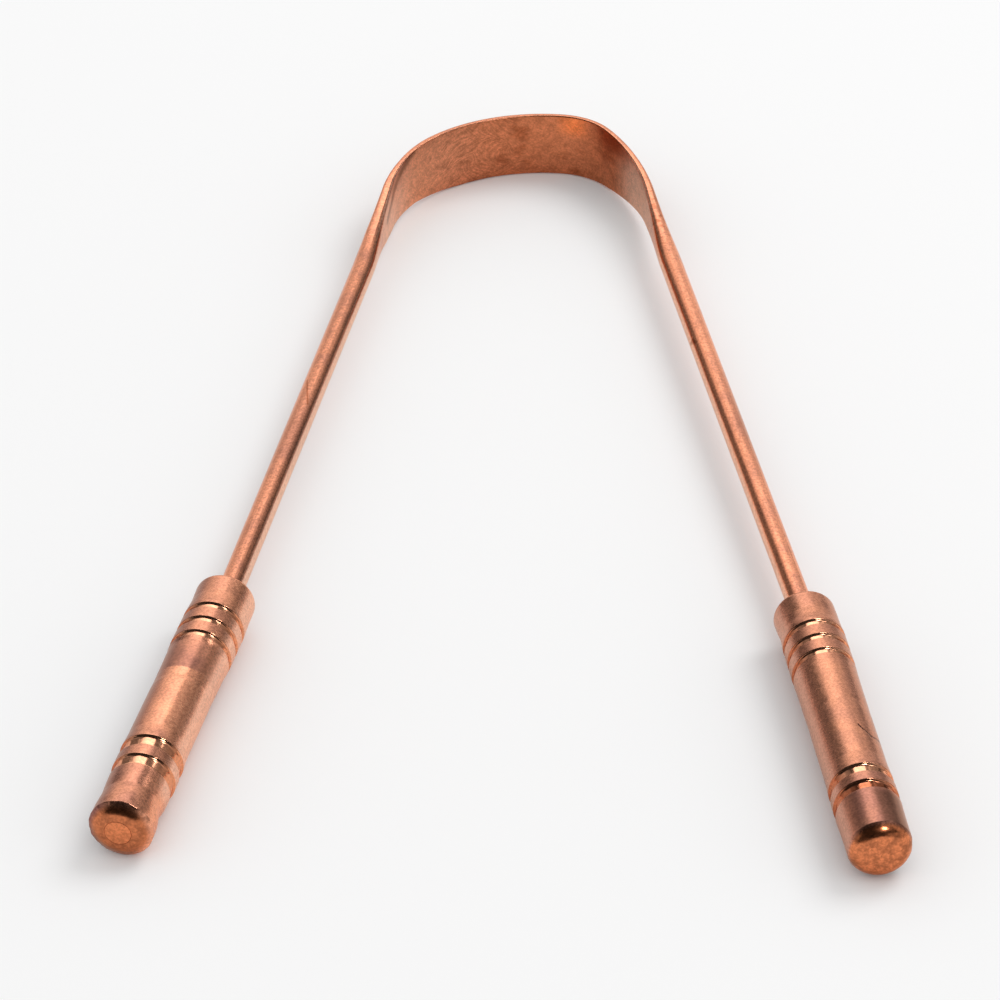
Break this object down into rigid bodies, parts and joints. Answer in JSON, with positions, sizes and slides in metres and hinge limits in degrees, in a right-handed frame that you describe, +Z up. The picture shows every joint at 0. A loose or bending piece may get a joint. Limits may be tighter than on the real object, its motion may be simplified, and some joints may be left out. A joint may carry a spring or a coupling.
{
  "type": "tongue scraper",
  "caption": "Copper tongue scraper: a rod flattened into a curved scraping strip, with a turned, grooved grip on the end of each arm.",
  "frame": {"origin": "under the middle of the object's plan, on the surface that it lies on", "axes": "+Y from the grips towards the bow, +X to the right of a user who holds both grips, +Z up from the surface"},
  "size_m": [0.0834, 0.148, 0.0086],
  "materials": {
    "rod_copper": "drawn and rolled copper, rubbed to a satin with fine marks and faint reddish stains",
    "grip_copper": "turned copper, satin, with fine turning marks and darker grooves"
  },
  "bodies": {
    "root": {"scraper_rod": "rod_copper", "left_grip": "grip_copper", "right_grip": "grip_copper"}
  },
  "joints": []
}
